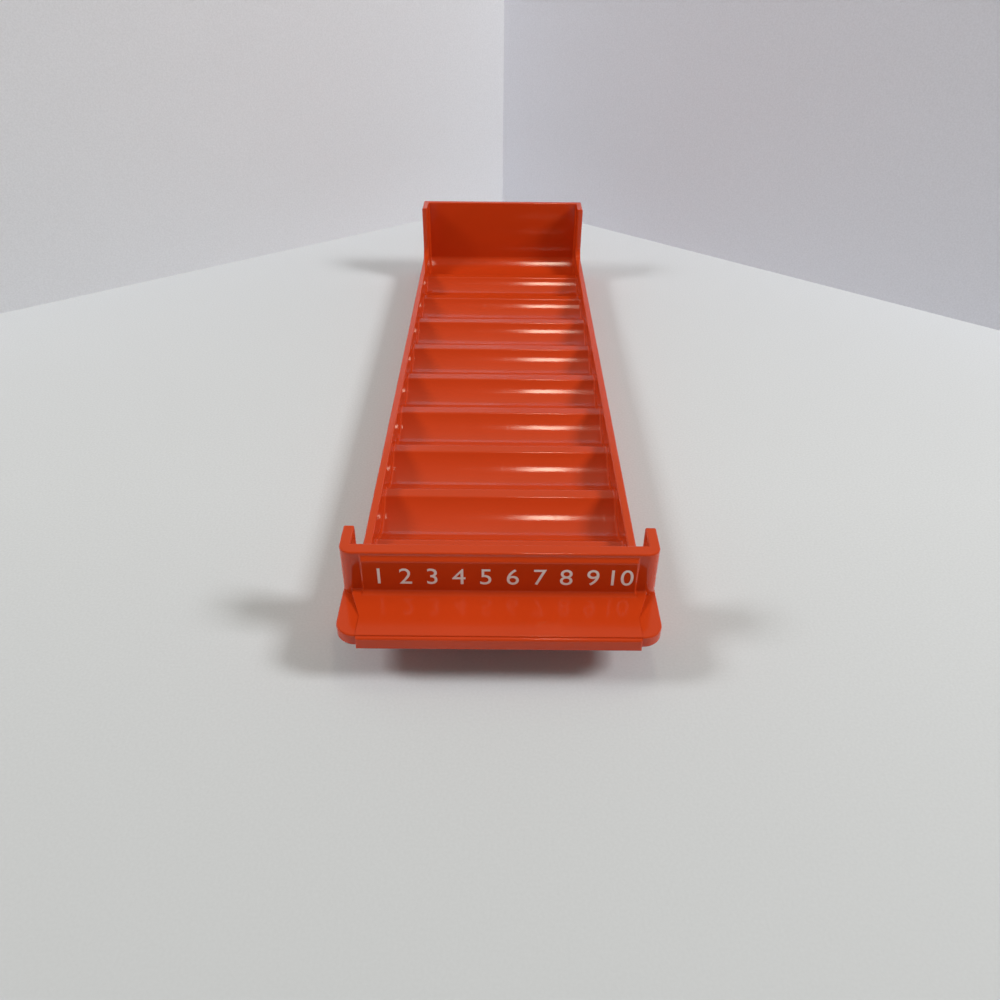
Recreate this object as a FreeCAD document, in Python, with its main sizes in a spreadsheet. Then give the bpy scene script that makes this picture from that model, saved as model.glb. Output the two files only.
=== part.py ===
"""Counting tray for ten rolls of coins, moulded in gloss plastic.

The real tray is one shot of plastic.  It is built here as the plates, ribs and
cradles that its mould is made of, each a solid of its own that meets its
neighbours face to face.

Frame: millimetres, +Z up, +X to the right, the back wall towards +Y.  The
origin is on the table under the middle of the tray.
"""
import FreeCAD, Part
import math
import os

import Sketcher
from FreeCAD import Vector

ROLL_COUNT = 10
SIDES = (("left", -1), ("right", 1))

# Driving dimensions: name, millimetres, what it is.
SIZES = [
    # roll bed
    ("overall_length", 292.1, "finger lip to the back of the back wall"),
    ("end_reach", 11.5, "from the first and last roll's middle to the end walls"),
    ("cradle_radius", 15.8, "hollow that a roll lies in"),
    ("ridge_flat", 3.4, "flat top of the ridge between two rolls"),
    ("ridge_edge_radius", 1.2, "rounding of the ridge's long edges"),
    ("ridge_height", 9.5, "table to the ridge tops"),
    ("floor_wall", 2.2, "thickness of the moulded floor"),
    ("inner_width", 76.1, "between the side walls, the length of a roll"),
    # side and back walls
    ("side_wall_thick", 2.6, "side walls and rear returns"),
    ("rail_height", 14.3, "table to the top of the side walls"),
    ("back_wall_thick", 2.8, "back wall"),
    ("back_height", 38.6, "table to the top of the back wall"),
    ("return_reach", 9.7, "rear returns, forward from the back wall"),
    ("return_foot_radius", 5.0, "hollow between a return and its side wall"),
    ("top_corner_radius", 1.4, "upper outer corners at the back"),
    # front wall
    ("front_wall_thick", 4.0, "front wall and its apron"),
    ("front_height", 30.0, "table to the rim of the front wall"),
    ("front_corner_inset", 0.4, "front wall's thickness left flat beside its rounded corners"),
    ("ear_overhang", 2.45, "ears, the front wall and the wings, out from the side walls"),
    ("ear_lap", 0.55, "ears, in over the top of the side walls"),
    ("ear_reach", 8.0, "ears, back from the front wall"),
    ("pad_margin", 6.1, "front wall's end to the raised label pad"),
    ("pad_proud", 1.0, "label pad, out from the front wall"),
    ("pad_top_drop", 1.15, "rim down to the label pad's bevel"),
    # pull shelf
    ("shelf_height", 15.6, "table to the top of the pull shelf"),
    ("shelf_reach", 16.0, "front wall to the shelf's front edge"),
    ("shelf_plate", 2.4, "thickness of the shelf between its wings"),
    ("wing_width", 5.8, "deeper end of the shelf"),
    ("shelf_edge_depth", 3.8, "wings and lip, top to bottom"),
    ("lip_reach", 1.5, "finger lip, out from the shelf's edge"),
    ("lip_drop", 0.7, "shelf down to the top of the finger lip"),
    ("lip_grip", 1.7, "finger lip, back under the shelf"),
    ("wing_corner_inset", 0.3, "wing's width left square beside its rounded corner"),
    ("ramp_reach", 8.75, "ramp at the foot of the label pad"),
    ("ramp_rise", 1.4, "ramp, above the shelf at the front wall"),
    ("ramp_margin", 2.7, "front wall's end to the ramp"),
    ("ramp_flare", 2.2, "ramp's front edge, in from its back edge at each end"),
]

# Places and sizes that the spreadsheet works out from them.
WORKED_OUT = [
    # along the tray
    ("y_back_outer", "=overall_length / 2", "back of the back wall"),
    ("y_back", "=y_back_outer - back_wall_thick", "front of the back wall"),
    ("y_lip", "=0 - overall_length / 2", "front of the finger lip"),
    ("y_plate", "=y_lip + lip_reach", "front edge of the shelf"),
    ("y_face", "=y_plate + shelf_reach", "front of the front wall"),
    ("y_inner", "=y_face + front_wall_thick", "back of the front wall"),
    ("y_first", "=y_inner + end_reach", "middle of the first roll"),
    ("y_last", "=y_back - end_reach", "middle of the last roll"),
    ("roll_pitch", f"=(y_last - y_first) / {ROLL_COUNT - 1}", "from one roll to the next"),
    # across the tray
    ("half_inner", "=inner_width / 2", "inside of a side wall"),
    ("half_side", "=half_inner + side_wall_thick", "outside of a side wall"),
    ("half_ear", "=half_side - ear_lap", "inside of an ear"),
    ("half_width", "=half_side + ear_overhang", "outside of an ear and a wing"),
    ("half_centre", "=half_width - wing_width", "where the shelf meets a wing"),
    ("half_pad", "=half_width - pad_margin", "end of the label pad"),
    ("half_ramp", "=half_width - ramp_margin", "end of the ramp's back edge"),
    # up the tray
    ("edge_bottom", "=shelf_height - shelf_edge_depth", "underside of the wings and the lip"),
    ("plate_bottom", "=shelf_height - shelf_plate", "underside of the shelf"),
    ("ledge_top", "=shelf_height - lip_drop", "top of the finger lip"),
    ("ramp_top", "=shelf_height + ramp_rise", "top of the ramp at the front wall"),
    ("pad_top", "=front_height - pad_top_drop", "top of the label pad's bevel"),
    # the hollow of a cradle runs smoothly into the rounding of the ridge beside it
    ("flank_radius", "=cradle_radius + ridge_edge_radius", "roll's middle to the rounding's"),
    ("flank_run", "=(roll_pitch - ridge_flat) / 2", "the same, measured level"),
    ("flank_rise", "=sqrt(flank_radius ^ 2 - flank_run ^ 2)", "the same, measured upright"),
    ("cradle_reach", "=flank_run * cradle_radius / flank_radius", "half the width of a cradle"),
    ("cradle_axis", "=ridge_height - ridge_edge_radius + flank_rise", "middle of the hollow"),
    ("under_radius", "=cradle_radius + floor_wall", "underside of the floor"),
]

doc = FreeCAD.newDocument("coin_roll_tray")
sheet = doc.addObject("Spreadsheet::Sheet", "Sizes")
for row, (name, value, meaning) in enumerate(SIZES + WORKED_OUT, start=1):
    sheet.set(f"A{row}", name)
    sheet.set(f"B{row}", str(value))
    sheet.set(f"C{row}", meaning)
    sheet.setAlias(f"B{row}", name)
doc.recompute()


class Size:
    """A length with the spreadsheet formula that it comes from."""

    def __init__(self, formula, value):
        self.formula = formula
        self.value = value

    def __add__(self, other):
        return join(self, "+", other, lambda a, b: a + b)

    def __sub__(self, other):
        return join(self, "-", other, lambda a, b: a - b)

    def __mul__(self, other):
        return join(self, "*", other, lambda a, b: a * b)

    def __truediv__(self, other):
        return join(self, "/", other, lambda a, b: a / b)

    def __neg__(self):
        return Size(f"(0 - {self.formula})", -self.value)


def join(left, sign, right, work):
    if not isinstance(right, Size):
        right = Size(str(right), right)
    formula = f"({left.formula} {sign} {right.formula})"
    return Size(formula, work(left.value, right.value))


def root(size):
    return Size(f"sqrt({size.formula})", math.sqrt(size.value))


def cell(name):
    """A size read from its spreadsheet cell."""
    return Size(f"Sizes.{name}", float(sheet.get(name)))


table = Size("0", 0.0)


def cradle_top(reach):
    """Height of the hollow at a distance from the roll's middle."""
    radius = cell("cradle_radius")
    return cell("cradle_axis") - root(radius * radius - reach * reach)


def cradle_bottom(reach):
    """Height of the floor's underside at a distance from the roll's middle."""
    radius = cell("under_radius")
    return cell("cradle_axis") - root(radius * radius - reach * reach)


# Building blocks.
subparts = []


def place(piece, x, y, z):
    for axis, size in zip("xyz", (x, y, z)):
        piece.setExpression(f"Placement.Base.{axis}", size.formula)


def new_body(label, x=table, y=table, z=table):
    body = doc.addObject("PartDesign::Body", label)
    body.Label = label
    place(body, x, y, z)
    subparts.append(body)
    return body


def new_plate(label, x, y, z):
    """A plain rectangular plate between two sizes along each axis."""
    plate = doc.addObject("Part::Box", label)
    plate.Label = label
    for side, (low, high) in zip(("Length", "Width", "Height"), (x, y, z)):
        plate.setExpression(side, (high - low).formula)
    place(plate, x[0], y[0], z[0])
    subparts.append(plate)
    return plate


def arc_between(start, end, radius, side):
    """Arc from start to end; side is 1 where it bends to the left."""
    chord = end - start
    across = Vector(-chord.y, chord.x, 0).normalize()
    sagitta = math.sqrt(radius ** 2 - (chord.Length / 2) ** 2)
    centre = (start + end) / 2 + across * (side * sagitta)
    first, last = (start, end) if side > 0 else (end, start)
    angles = [math.atan2(p.y - centre.y, p.x - centre.x) for p in (first, last)]
    return Part.ArcOfCircle(Part.Circle(centre, Vector(0, 0, 1), radius), *angles)


def new_outline(body, role, corners):
    """A closed, fully dimensioned outline on one of the body's own planes.

    A corner is (across, up), and the edge that leaves it is straight, or
    (across, up, radius, side), and the edge that leaves it is an arc.
    """
    sketch = body.newObject("Sketcher::SketchObject", body.Label + "_outline")
    plane = next(f for f in body.Origin.OriginFeatures if f.Role == role)
    sketch.AttachmentSupport = [(plane, "")]
    sketch.MapMode = "FlatFace"
    points = [Vector(c[0].value, c[1].value, 0) for c in corners]
    ends = []
    for number, corner in enumerate(corners):
        start = points[number]
        end = points[(number + 1) % len(points)]
        if len(corner) == 2:
            edge = sketch.addGeometry(Part.LineSegment(start, end))
            ends.append((edge, 1, 2))
            continue
        radius, side = corner[2:]
        edge = sketch.addGeometry(arc_between(start, end, radius.value, side))
        ends.append((edge, 1, 2) if side > 0 else (edge, 2, 1))
        rule = sketch.addConstraint(Sketcher.Constraint("Radius", edge, radius.value))
        sketch.setExpression(f"Constraints[{rule}]", radius.formula)
    for number, (edge, start, _) in enumerate(ends):
        before, _, end = ends[number - 1]
        sketch.addConstraint(Sketcher.Constraint("Coincident", before, end, edge, start))
        for kind, size in zip(("DistanceX", "DistanceY"), corners[number]):
            rule = Sketcher.Constraint(kind, -1, 1, edge, start, size.value)
            index = sketch.addConstraint(rule)
            sketch.setExpression(f"Constraints[{index}]", size.formula)
    return sketch


def new_pad(body, sketch, length, side_type="Symmetric", backwards=False):
    pad = body.newObject("PartDesign::Pad", body.Label + "_pad")
    pad.Profile = sketch
    pad.setExpression("Length", length.formula)
    pad.SideType = side_type
    pad.Reversed = backwards
    doc.recompute()
    return pad


def round_edges(body, feature, radius, *ways):
    """Round, for each way, the edge of the feature that lies furthest that way."""
    names = []
    for way in ways:
        reach = [edge.CenterOfMass.dot(Vector(*way)) for edge in feature.Shape.Edges]
        names.append(f"Edge{reach.index(max(reach)) + 1}")
    fillet = body.newObject("PartDesign::Fillet", body.Label + "_rounding")
    fillet.Base = (feature, names)
    fillet.setExpression("Radius", radius.formula)
    doc.recompute()


def rectangle(low_u, high_u, low_v, high_v):
    return [(low_u, low_v), (high_u, low_v), (high_u, high_v), (low_u, high_v)]



# Roll bed: ten hollows and the nine ridges between them.
def build_cradle(number):
    front = cell("end_reach") if number == 1 else cell("cradle_reach")
    rear = cell("end_reach") if number == ROLL_COUNT else cell("cradle_reach")
    middle = cell("y_first") + cell("roll_pitch") * (number - 1)
    body = new_body(f"roll_cradle_{number:02d}", y=middle)
    outline = [
        (-front, cradle_top(front), cell("cradle_radius"), 1),
        (rear, cradle_top(rear)),
        (rear, cradle_bottom(rear), cell("under_radius"), -1),
        (-front, cradle_bottom(front)),
    ]
    new_pad(body, new_outline(body, "YZ_Plane", outline), cell("inner_width"))


def build_ridge(number):
    middle = cell("y_first") + cell("roll_pitch") * (number - 0.5)
    body = new_body(f"divider_ridge_{number}", y=middle)
    flat = cell("ridge_flat") / 2
    foot = cell("roll_pitch") / 2 - cell("cradle_reach")
    top = cradle_top(cell("cradle_reach"))
    bottom = cradle_bottom(cell("cradle_reach"))
    outline = [
        (-foot, bottom),
        (foot, bottom),
        (foot, top, cell("ridge_edge_radius"), 1),
        (flat, cell("ridge_height")),
        (-flat, cell("ridge_height"), cell("ridge_edge_radius"), 1),
        (-foot, top),
    ]
    new_pad(body, new_outline(body, "YZ_Plane", outline), cell("inner_width"))


# Side walls, and the returns that rise from them at the back.
def build_side_wall(name, side):
    inner, outer = cell("half_inner"), cell("half_side")
    x = (inner, outer) if side > 0 else (-outer, -inner)
    new_plate(f"side_wall_{name}", x, (cell("y_inner"), cell("y_back")), (table, cell("rail_height")))


def build_rear_return(name, side):
    middle = (cell("half_inner") + cell("half_side")) / 2
    body = new_body(f"rear_return_{name}", x=middle * side)
    rail = cell("rail_height")
    foot = cell("return_foot_radius")
    front = cell("y_back") - cell("return_reach")
    outline = [
        (cell("y_back"), rail),
        (cell("y_back"), cell("back_height")),
        (front, cell("back_height")),
        (front, rail + foot, foot, -1),
        (front - foot, rail),
    ]
    pad = new_pad(body, new_outline(body, "YZ_Plane", outline), cell("side_wall_thick"))
    round_edges(body, pad, cell("top_corner_radius"), (side, 0, 1))


def build_back_wall():
    body = new_body("back_wall", y=cell("y_back_outer"))
    half = cell("half_side")
    sketch = new_outline(body, "XZ_Plane", rectangle(-half, half, table, cell("back_height")))
    pad = new_pad(body, sketch, cell("back_wall_thick"), "One side")
    round_edges(body, pad, cell("top_corner_radius"), (-1, 0, 1), (1, 0, 1))


# Front wall on its apron, with an ear at each end and the label pad.
def build_front_wall():
    across = (-cell("half_width"), cell("half_width"))
    along = (cell("y_face"), cell("y_inner"))
    new_plate("front_apron", across, along, (table, cell("shelf_height")))
    body = new_body("front_wall", z=cell("shelf_height"))
    sketch = new_outline(body, "XY_Plane", rectangle(*across, *along))
    pad = new_pad(body, sketch, cell("front_height") - cell("shelf_height"), "One side")
    radius = cell("front_wall_thick") - cell("front_corner_inset")
    round_edges(body, pad, radius, (-1, -1, 0), (1, -1, 0))


def build_front_ear(name, side):
    body = new_body(f"front_ear_{name}", y=cell("y_inner"))
    outline = [
        (cell("half_width") * side, table),
        (cell("half_width") * side, cell("front_height")),
        (cell("half_ear") * side, cell("front_height")),
        (cell("half_ear") * side, cell("rail_height")),
        (cell("half_side") * side, cell("rail_height")),
        (cell("half_side") * side, table),
    ]
    sketch = new_outline(body, "XZ_Plane", outline)
    new_pad(body, sketch, cell("ear_reach"), "One side", backwards=True)


def build_label_pad():
    body = new_body("label_pad")
    front = cell("y_face") - cell("pad_proud")
    slope = cell("ramp_rise") / cell("ramp_reach")
    outline = [
        (cell("y_face"), cell("ramp_top")),
        (cell("y_face"), cell("pad_top")),
        (front, cell("pad_top") - cell("pad_proud")),
        (front, cell("ramp_top") - cell("pad_proud") * slope),
    ]
    new_pad(body, new_outline(body, "YZ_Plane", outline), cell("half_pad") * 2)


# Pull shelf: plate, wings, finger lip and the ramp up to the label pad.
def build_shelf():
    across = (-cell("half_centre"), cell("half_centre"))
    along = (cell("y_plate"), cell("y_face"))
    new_plate("pull_shelf", across, along, (cell("plate_bottom"), cell("shelf_height")))
    body = new_body("finger_lip")
    back = cell("y_plate") + cell("lip_grip")
    outline = [
        (cell("y_lip"), cell("edge_bottom")),
        (back, cell("edge_bottom")),
        (back, cell("plate_bottom")),
        (cell("y_plate"), cell("plate_bottom")),
        (cell("y_plate"), cell("ledge_top")),
        (cell("y_lip"), cell("ledge_top")),
    ]
    new_pad(body, new_outline(body, "YZ_Plane", outline), cell("half_centre") * 2)


def build_wing(name, side):
    body = new_body(f"shelf_wing_{name}", z=cell("edge_bottom"))
    inner, outer = cell("half_centre") * side, cell("half_width") * side
    sketch = new_outline(body, "XY_Plane", rectangle(inner, outer, cell("y_plate"), cell("y_face")))
    pad = new_pad(body, sketch, cell("shelf_edge_depth"), "One side")
    round_edges(body, pad, cell("wing_width") - cell("wing_corner_inset"), (side, -1, 0))


def build_ramp():
    body = new_body("shelf_ramp", z=cell("shelf_height"))
    back, front = cell("y_face"), cell("y_face") - cell("ramp_reach")
    wide, narrow = cell("half_ramp"), cell("half_ramp") - cell("ramp_flare")
    plan = [(-narrow, front), (narrow, front), (wide, back), (-wide, back)]
    new_pad(body, new_outline(body, "XY_Plane", plan), cell("ramp_rise"), "One side")
    slope = [(front, table), (back, cell("ramp_rise")), (front, cell("ramp_rise"))]
    cut = body.newObject("PartDesign::Pocket", "shelf_ramp_slope")
    cut.Profile = new_outline(body, "YZ_Plane", slope)
    cut.SideType = "Symmetric"
    cut.setExpression("Length", (wide * 2).formula)
    doc.recompute()


for number in range(1, ROLL_COUNT + 1):
    build_cradle(number)
for number in range(1, ROLL_COUNT):
    build_ridge(number)
for name, side in SIDES:
    build_side_wall(name, side)
    build_rear_return(name, side)
build_back_wall()
build_front_wall()
for name, side in SIDES:
    build_front_ear(name, side)
build_label_pad()
build_shelf()
for name, side in SIDES:
    build_wing(name, side)
build_ramp()

doc.recompute()
for item in doc.Objects:
    if "Invalid" in item.State or "Error" in item.State:
        raise RuntimeError(f"{item.Label} failed to build: {item.State}")

os.makedirs("parts", exist_ok=True)
for piece in subparts:
    shape = piece.Shape
    if shape.isNull() or not shape.isValid() or shape.Volume <= 0:
        raise RuntimeError(f"{piece.Label} has no valid solid")
    print(f"{piece.Label:20s} solids {len(shape.Solids)}  volume {shape.Volume:9.1f} mm3")
    shape.exportStep(f"parts/{piece.Label}.step")
print("sub-parts:", len(subparts), " overall length:", cell("overall_length").value)
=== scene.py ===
# %% [markdown]
# # A tray for rolls of coins
#
# The real tray is a single shot of gloss plastic with a row of figures hot
# stamped on its front. Plain blocks are modelled one after another in the order
# a mould maker would cut them, fused into one shell, and given the small radii
# that every moulding has. The shell is then parted into named pieces along the
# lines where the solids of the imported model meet, so that each piece stands for
# one solid while the shine still runs unbroken from piece to piece.

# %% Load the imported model
import math

import bmesh
import bpy
from mathutils import Matrix, Vector


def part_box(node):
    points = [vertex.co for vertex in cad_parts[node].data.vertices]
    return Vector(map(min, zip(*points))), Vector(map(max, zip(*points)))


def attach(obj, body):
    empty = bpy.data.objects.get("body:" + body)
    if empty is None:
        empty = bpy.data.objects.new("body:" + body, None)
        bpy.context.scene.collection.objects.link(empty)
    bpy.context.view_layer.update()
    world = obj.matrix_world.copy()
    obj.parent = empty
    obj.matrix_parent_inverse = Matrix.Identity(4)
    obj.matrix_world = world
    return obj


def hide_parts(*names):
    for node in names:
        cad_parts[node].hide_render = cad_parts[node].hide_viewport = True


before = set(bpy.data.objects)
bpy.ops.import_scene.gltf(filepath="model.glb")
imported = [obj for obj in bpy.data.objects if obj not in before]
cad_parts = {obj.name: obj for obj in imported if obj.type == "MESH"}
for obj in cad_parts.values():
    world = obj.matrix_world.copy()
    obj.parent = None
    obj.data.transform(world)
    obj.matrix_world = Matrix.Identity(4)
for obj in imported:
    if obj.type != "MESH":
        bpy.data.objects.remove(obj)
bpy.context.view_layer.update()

print(len(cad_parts), "solids in the packed model")

# %% [markdown]
# ## Where things are
#
# The solids already hold every place that matters, so the lengths are read from
# their boxes and only the radii of the hollows are written here. Blender works
# in metres, and a small helper keeps the figures readable in millimetres.

# %% Sizes
MM = 0.001

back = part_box("back_wall")
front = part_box("front_wall")
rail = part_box("side_wall_right")
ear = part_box("front_ear_right")
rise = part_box("rear_return_right")
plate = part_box("pull_shelf")
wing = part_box("shelf_wing_right")
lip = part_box("finger_lip")
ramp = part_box("shelf_ramp")
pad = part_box("label_pad")
first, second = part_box("roll_cradle_01"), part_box("roll_cradle_02")
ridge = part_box("divider_ridge_1")

LOW, HIGH = 0, 1
ROLLS = 10
HOLLOW_RADIUS = 15.8 * MM
RIDGE_RADIUS = 1.2 * MM
FLOOR_WALL = 2.2 * MM

reach = (second[HIGH].y - second[LOW].y) / 2
pitch = ridge[HIGH].y - ridge[LOW].y + 2 * reach
first_middle = second[LOW].y + reach - pitch
ridge_top = ridge[HIGH].z
sweep_angle = math.asin(reach / HOLLOW_RADIUS)
hollow_axis = ridge_top - RIDGE_RADIUS + (HOLLOW_RADIUS + RIDGE_RADIUS) * math.cos(sweep_angle)
ridge_flat = pitch - 2 * (HOLLOW_RADIUS + RIDGE_RADIUS) * math.sin(sweep_angle)

print("pitch", round(pitch / MM, 2), "mm, flat", round(ridge_flat / MM, 2), "mm")
print("hollow's axis", round(hollow_axis / MM, 2), "mm above the table")

# %% [markdown]
# ## Blocks
#
# A block is an outline pushed along one axis, which is how the plates and ribs
# of a mould are milled. The outline is a few points, `bmesh` fills it with one
# face, and an extrusion gives it its length. Rounded upright corners are made
# here too, with a bevel on the edges that need one, because they belong to the
# outline and not to the small radii that come later. A second helper rounds
# chosen edges of a block that are easier to round before the blocks are fused.

# %% Block helpers
AXES = {"x": Vector((1, 0, 0)), "y": Vector((0, 1, 0)), "z": Vector((0, 0, 1))}
OUTLINE_STEPS = 10
BLOCK_STEPS = 6
QUARTER_ROUND = 0.5
ALONG_AXIS = 0.99
SAME_PLACE = 1e-6


def extrude_face(bm, face, along):
    grown = bmesh.ops.extrude_face_region(bm, geom=[face])["geom"]
    moved = [item for item in grown if isinstance(item, bmesh.types.BMVert)]
    bmesh.ops.translate(bm, vec=along, verts=moved)
    bmesh.ops.recalc_face_normals(bm, faces=bm.faces)


def block_from(bm, name):
    mesh = bpy.data.meshes.new(name)
    bm.to_mesh(mesh)
    bm.free()
    block = bpy.data.objects.new(name, mesh)
    bpy.context.scene.collection.objects.link(block)
    return block


def prism(name, axis, outline, low, high, round_at=(), radius=0.0):
    """A block whose outline is pushed from low to high along one axis.

    round_at names the outline's corners whose edges get a radius.
    """
    others = [key for key in "xyz" if key != axis]
    bm = bmesh.new()
    for across, up in outline:
        point = AXES[others[0]] * across + AXES[others[1]] * up + AXES[axis] * low
        bm.verts.new(point)
    face = bm.faces.new(bm.verts)
    extrude_face(bm, face, AXES[axis] * (high - low))
    if round_at:
        corners = [outline[index] for index in round_at]
        edges = []
        for edge in bm.edges:
            middle = (edge.verts[0].co + edge.verts[1].co) / 2
            where = (getattr(middle, others[0]), getattr(middle, others[1]))
            along = abs((edge.verts[0].co - edge.verts[1].co).normalized().dot(AXES[axis]))
            at_corner = any(math.dist(where, corner) < SAME_PLACE for corner in corners)
            if along > ALONG_AXIS and at_corner:
                edges.append(edge)
        bmesh.ops.bevel(bm, geom=edges, offset=radius, offset_type="OFFSET",
                        segments=OUTLINE_STEPS, profile=QUARTER_ROUND, affect="EDGES",
                        material=-1)
    return block_from(bm, name)


def cuboid(name, low, high):
    """A plain block between two corners."""
    outline = [(low[0], low[1]), (high[0], low[1]), (high[0], high[1]), (low[0], high[1])]
    return prism(name, "z", outline, low[2], high[2])


def round_block(block, radius, chosen):
    """Round the edges of one block whose middle the test picks."""
    bm = bmesh.new()
    bm.from_mesh(block.data)
    edges = [edge for edge in bm.edges if chosen((edge.verts[0].co + edge.verts[1].co) / 2)]
    bmesh.ops.bevel(bm, geom=edges, offset=radius, offset_type="OFFSET", affect="EDGES",
                    segments=BLOCK_STEPS, profile=QUARTER_ROUND, material=-1,
                    clamp_overlap=False)
    bm.to_mesh(block.data)
    bm.free()
    return block

# %% [markdown]
# ## The roll bed
#
# Seen from the side the bed is one wavy line: a hollow, the round edge of a
# ridge, the ridge's flat top, its other edge, and the next hollow. A lathe
# operator would swing the tool about each centre in turn, and `spin` does the
# same with the line's last point. The underside is drawn back the same way about
# the same centres, which keeps the floor's thickness even, and the closed line
# is pushed across the tray. The bed runs a little into the walls round it, so
# that fusing them leaves no film of air between.

# %% Roll bed
OVERRUN = 0.9 * MM
HOLLOW_STEPS = 28
EDGE_STEPS = 10
end_angle = math.asin((first_middle - first[LOW].y) / HOLLOW_RADIUS)
under_angle = math.asin(reach / (HOLLOW_RADIUS + FLOOR_WALL))
under_end = math.asin((first_middle - first[LOW].y) / (HOLLOW_RADIUS + FLOOR_WALL))


def swing(bm, tip, centre, angle, steps):
    """Carry the line's last point round a centre."""
    spun = bmesh.ops.spin(bm, geom=[tip], cent=centre, axis=AXES["x"], angle=angle,
                          steps=steps, use_duplicate=False)
    return next(item for item in spun["geom_last"] if isinstance(item, bmesh.types.BMVert))


def step_to(bm, tip, place):
    """Draw the line straight on to a place."""
    grown = bmesh.ops.extrude_vert_indiv(bm, verts=[tip])["verts"][0]
    grown.co = place
    return grown


def on_hollow(middle, radius, angle):
    return Vector((0, middle + radius * math.sin(angle), hollow_axis - radius * math.cos(angle)))


def build_bed():
    bm = bmesh.new()
    middles = [first_middle + pitch * number for number in range(ROLLS)]
    into_wall = Vector((0, OVERRUN, 0))
    start = bm.verts.new(on_hollow(middles[0], HOLLOW_RADIUS, -end_angle) - into_wall)
    tip = step_to(bm, start, start.co + into_wall)
    for number, middle in enumerate(middles):
        centre = Vector((0, middle, hollow_axis))
        before = end_angle if number == 0 else sweep_angle
        after = end_angle if number == ROLLS - 1 else sweep_angle
        tip = swing(bm, tip, centre, before + after, HOLLOW_STEPS)
        if number < ROLLS - 1:
            edge = Vector((0, middle + pitch / 2 - ridge_flat / 2, ridge_top - RIDGE_RADIUS))
            tip = swing(bm, tip, edge, -sweep_angle, EDGE_STEPS)
            tip = step_to(bm, tip, tip.co + Vector((0, ridge_flat, 0)))
            tip = swing(bm, tip, edge + Vector((0, ridge_flat, 0)), -sweep_angle, EDGE_STEPS)
    under = HOLLOW_RADIUS + FLOOR_WALL
    under_tip = on_hollow(middles[-1], under, under_end)
    for place in (tip.co + into_wall, under_tip + into_wall, under_tip):
        tip = step_to(bm, tip, place)
    for number, middle in reversed(list(enumerate(middles))):
        centre = Vector((0, middle, hollow_axis))
        before = under_end if number == ROLLS - 1 else under_angle
        after = under_end if number == 0 else under_angle
        tip = swing(bm, tip, centre, -(before + after), HOLLOW_STEPS // 2)
        if number > 0:
            tip = step_to(bm, tip, on_hollow(middle - pitch, under, under_angle))
    tip = step_to(bm, tip, tip.co - into_wall)
    bm.edges.new((tip, start))
    bmesh.ops.translate(bm, vec=(rail[LOW].x + OVERRUN, 0, 0), verts=bm.verts)
    face = bmesh.ops.contextual_create(bm, geom=bm.edges)["faces"][0]
    extrude_face(bm, face, Vector((-2 * (rail[LOW].x + OVERRUN), 0, 0)))
    print("bed:", len(bm.faces), "faces, closed:", all(e.is_manifold for e in bm.edges))
    return block_from(bm, "bed_block")


bed = build_bed()

# %% [markdown]
# ## Side rails and returns
#
# A side wall and the tall return at its back are one flat plate, so their
# outline is drawn in one go: along the table, up the back, forward along the
# return's top, down its front, round the hollow at its foot, and forward along
# the rail. Drawing them apart would leave a seam to hide.

# %% Side plates
FOOT_RADIUS = 5.0 * MM
FOOT_STEPS = 10


def build_side_plate(side):
    front_y = rise[LOW].y + FOOT_RADIUS
    top = rail[HIGH].z
    bm = bmesh.new()
    x = rail[LOW].x * side
    first_vert = bm.verts.new((x, front[HIGH].y - OVERRUN, top))
    tip = step_to(bm, first_vert, Vector((x, front[HIGH].y - OVERRUN, 0)))
    for y, z in ((back[HIGH].y, 0), (back[HIGH].y, back[HIGH].z),
                 (front_y, back[HIGH].z), (front_y, top + FOOT_RADIUS)):
        tip = step_to(bm, tip, Vector((x, y, z)))
    centre = Vector((x, front_y - FOOT_RADIUS, top + FOOT_RADIUS))
    tip = swing(bm, tip, centre, -math.pi / 2, FOOT_STEPS)
    bm.edges.new((tip, first_vert))
    face = bmesh.ops.contextual_create(bm, geom=bm.edges)["faces"][0]
    extrude_face(bm, face, Vector(((rail[HIGH].x - rail[LOW].x) * side, 0, 0)))
    return block_from(bm, "side_plate_block")


blocks = [build_side_plate(-1), build_side_plate(1)]
blocks.append(cuboid("back_block", (-rail[LOW].x - OVERRUN, back[LOW].y, 0),
                     (rail[LOW].x + OVERRUN, back[HIGH].y, back[HIGH].z)))
print("blocks so far:", len(blocks) + 1)

# %% [markdown]
# ## Front wall, apron and ears
#
# The front wall folds back at both ends into an ear, so above the shelf it is
# one U seen from above, with its two outer corners rounded. The apron below
# keeps square corners, and the level of the shelf runs on under the rounded
# ones, which leaves the small flat step that the real tray shows there.

# %% Front wall, apron and ears
CORNER_RADIUS = 3.6 * MM
WING_STEP = 0.2 * MM
ear_inner = ear[LOW].x
wall_front, wall_back = front[LOW].y, front[HIGH].y

upper_outline = [
    (-front[HIGH].x, wall_front), (front[HIGH].x, wall_front), (front[HIGH].x, ear[HIGH].y),
    (ear_inner, ear[HIGH].y), (ear_inner, wall_back), (-ear_inner, wall_back),
    (-ear_inner, ear[HIGH].y), (-front[HIGH].x, ear[HIGH].y),
]
foot_top = plate[LOW].z
blocks.append(prism("front_wall_block", "z", upper_outline, foot_top - OVERRUN, front[HIGH].z,
                    round_at=(0, 1), radius=CORNER_RADIUS))
wing_top = wing[HIGH].z - WING_STEP
blocks.append(cuboid("apron_block", (-front[HIGH].x, wall_front, 0),
                     (front[HIGH].x, wall_back, foot_top)))
for side in (-1, 1):
    inner, outer = sorted((side * ear_inner, side * ear[HIGH].x))
    blocks.append(cuboid("ear_foot_block", (inner, wall_back - OVERRUN, 0),
                         (outer, ear[HIGH].y, foot_top)))
print("ear is", round((ear[HIGH].x - ear_inner) / MM, 2), "mm thick")

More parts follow.
